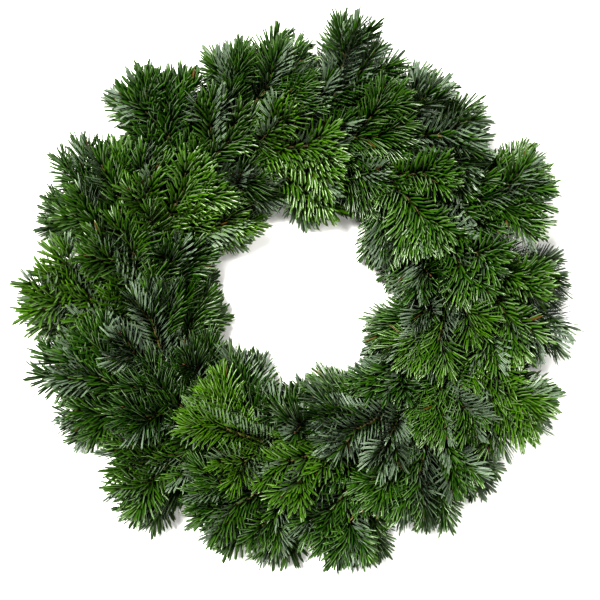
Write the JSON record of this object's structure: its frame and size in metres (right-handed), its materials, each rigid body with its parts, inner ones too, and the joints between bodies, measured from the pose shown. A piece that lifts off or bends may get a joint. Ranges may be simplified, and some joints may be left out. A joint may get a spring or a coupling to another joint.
{
  "type": "fresh evergreen wreath",
  "caption": "Round wreath of fresh fir sprays that overlap clockwise, wired onto a straw ring with a flat back and an open middle.",
  "frame": {"origin": "middle of the box round the wreath, on the surface that its flat back lies on", "axes": "+Z out of the leafy front, up as it lies; +Y towards the top of the front as the picture shows it; +X to the right"},
  "size_m": [0.507, 0.5044, 0.0902],
  "materials": {
    "fir_needles": "satin, waxy, with pale bands below",
    "fir_twig": "matt bark",
    "straw": "matt, laid in strands",
    "wire": "green lacquer"
  },
  "bodies": {
    "root": {"straw_ring": "straw", "binding_wire": "wire", "spray_outer_01": "fir_needles", "spray_outer_02": "fir_needles", "spray_outer_03": "fir_needles", "spray_outer_04": "fir_needles", "spray_outer_05": "fir_needles", "spray_outer_06": "fir_needles", "spray_outer_07": "fir_needles", "spray_outer_08": "fir_needles", "spray_outer_09": "fir_needles", "spray_outer_10": "fir_needles", "spray_outer_11": "fir_needles", "spray_outer_12": "fir_needles", "spray_outer_13": "fir_needles", "spray_outer_14": "fir_needles", "spray_shoulder_01": "fir_needles", "spray_shoulder_02": "fir_needles", "spray_shoulder_03": "fir_needles", "spray_shoulder_04": "fir_needles", "spray_shoulder_05": "fir_needles", "spray_shoulder_06": "fir_needles", "spray_shoulder_07": "fir_needles", "spray_shoulder_08": "fir_needles", "spray_shoulder_09": "fir_needles", "spray_shoulder_10": "fir_needles", "spray_shoulder_11": "fir_needles", "spray_shoulder_12": "fir_needles", "spray_shoulder_13": "fir_needles", "spray_shoulder_14": "fir_needles", "spray_crown_01": "fir_needles", "spray_crown_02": "fir_needles", "spray_crown_03": "fir_needles", "spray_crown_04": "fir_needles", "spray_crown_05": "fir_needles", "spray_crown_06": "fir_needles", "spray_crown_07": "fir_needles", "spray_crown_08": "fir_needles", "spray_crown_09": "fir_needles", "spray_crown_10": "fir_needles", "spray_crown_11": "fir_needles", "spray_crown_12": "fir_needles", "spray_crown_13": "fir_needles", "spray_crown_14": "fir_needles", "spray_inner_01": "fir_needles", "spray_inner_02": "fir_needles", "spray_inner_03": "fir_needles", "spray_inner_04": "fir_needles", "spray_inner_05": "fir_needles", "spray_inner_06": "fir_needles", "spray_inner_07": "fir_needles", "spray_inner_08": "fir_needles", "spray_inner_09": "fir_needles", "spray_inner_10": "fir_needles", "spray_inner_11": "fir_needles", "spray_inner_12": "fir_needles", "spray_inner_13": "fir_needles", "spray_inner_14": "fir_needles"}
  },
  "joints": []
}
